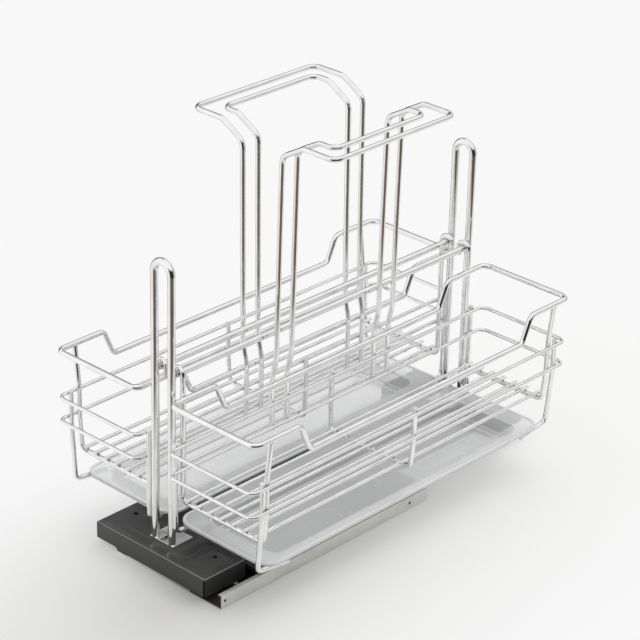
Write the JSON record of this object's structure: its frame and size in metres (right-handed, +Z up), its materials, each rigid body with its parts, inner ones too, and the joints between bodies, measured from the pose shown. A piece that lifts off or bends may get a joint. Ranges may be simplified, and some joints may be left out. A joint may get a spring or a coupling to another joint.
{
  "type": "pull out cabinet basket",
  "caption": "Pull-out cupboard organiser: twin lift-off wire baskets with carrying handles and drip trays, hung on a two-post frame that rides out on ball-bearing slides.",
  "frame": {"origin": "on the cupboard floor, midway between the two posts and between the two baskets", "axes": "+X to the right seen from the cupboard door, +Y to the back of the cupboard, +Z up; the unit pulls out toward -Y"},
  "size_m": [0.285, 0.485, 0.4274],
  "materials": {
    "chrome": "bright chrome plated wire",
    "zinc": "satin zinc plated sheet",
    "slide_steel": "satin zinc plated sheet",
    "ball_steel": "polished steel",
    "screw_steel": "zinc plated",
    "black_metal": "satin black coat",
    "black_plastic": "semi-gloss moulded black",
    "tray_plastic": "translucent white, satin"
  },
  "bodies": {
    "cabinet_rails": {"rail_left": "zinc", "rail_right": "zinc"},
    "outer_train": {"outer_cages": "slide_steel", "outer_balls": "ball_steel"},
    "middle_members": {"mid_left": "slide_steel", "mid_right": "slide_steel"},
    "inner_train": {"inner_cages": "slide_steel", "inner_balls": "ball_steel"},
    "carriage": {"runner_left": "slide_steel", "runner_right": "slide_steel", "base_plate": "black_metal", "front_block": "black_plastic", "rear_block": "black_plastic", "block_screws": "screw_steel", "front_foot_plate": "chrome", "rear_foot_plate": "chrome", "front_post": "chrome", "rear_post": "chrome", "rod_left": "chrome", "rod_right": "chrome"},
    "basket_left": {"rim_left": "chrome", "rings_left": "chrome", "end_frames_left": "chrome", "mid_frame_left": "chrome", "floor_wires_left": "chrome", "legs_left": "chrome", "handle_outer_left": "chrome", "handle_inner_left": "chrome"},
    "basket_right": {"rim_right": "chrome", "rings_right": "chrome", "end_frames_right": "chrome", "mid_frame_right": "chrome", "floor_wires_right": "chrome", "legs_right": "chrome", "handle_outer_right": "chrome", "handle_inner_right": "chrome"},
    "drip_tray_left": {"tray_left": "tray_plastic"},
    "drip_tray_right": {"tray_right": "tray_plastic"}
  },
  "joints": [
    {"name": "pull_out", "type": "slide", "parent": "cabinet_rails", "child": "carriage", "axis": [0, -1, 0], "range_m": [0, 0.3]},
    {"name": "middle_slide", "type": "slide", "parent": "cabinet_rails", "child": "middle_members", "axis": [0, -1, 0], "range_m": [0, 0.15]},
    {"name": "outer_balls_roll", "type": "slide", "parent": "cabinet_rails", "child": "outer_train", "axis": [0, -1, 0], "range_m": [0, 0.075]},
    {"name": "inner_balls_roll", "type": "slide", "parent": "cabinet_rails", "child": "inner_train", "axis": [0, -1, 0], "range_m": [0, 0.225]},
    {"name": "lift_left", "type": "slide", "parent": "carriage", "child": "basket_left", "axis": [0, 0, 1], "range_m": [0, 0.31]},
    {"name": "lift_right", "type": "slide", "parent": "carriage", "child": "basket_right", "axis": [0, 0, 1], "range_m": [0, 0.31]},
    {"name": "tray_lift_left", "type": "slide", "parent": "basket_left", "child": "drip_tray_left", "axis": [0, 0, 1], "range_m": [0, 0.022]},
    {"name": "tray_lift_right", "type": "slide", "parent": "basket_right", "child": "drip_tray_right", "axis": [0, 0, 1], "range_m": [0, 0.022]}
  ],
  "couplings": [
    {"joint": "middle_slide", "follows": "pull_out", "ratio": 0.5},
    {"joint": "outer_balls_roll", "follows": "pull_out", "ratio": 0.25},
    {"joint": "inner_balls_roll", "follows": "pull_out", "ratio": 0.75}
  ]
}
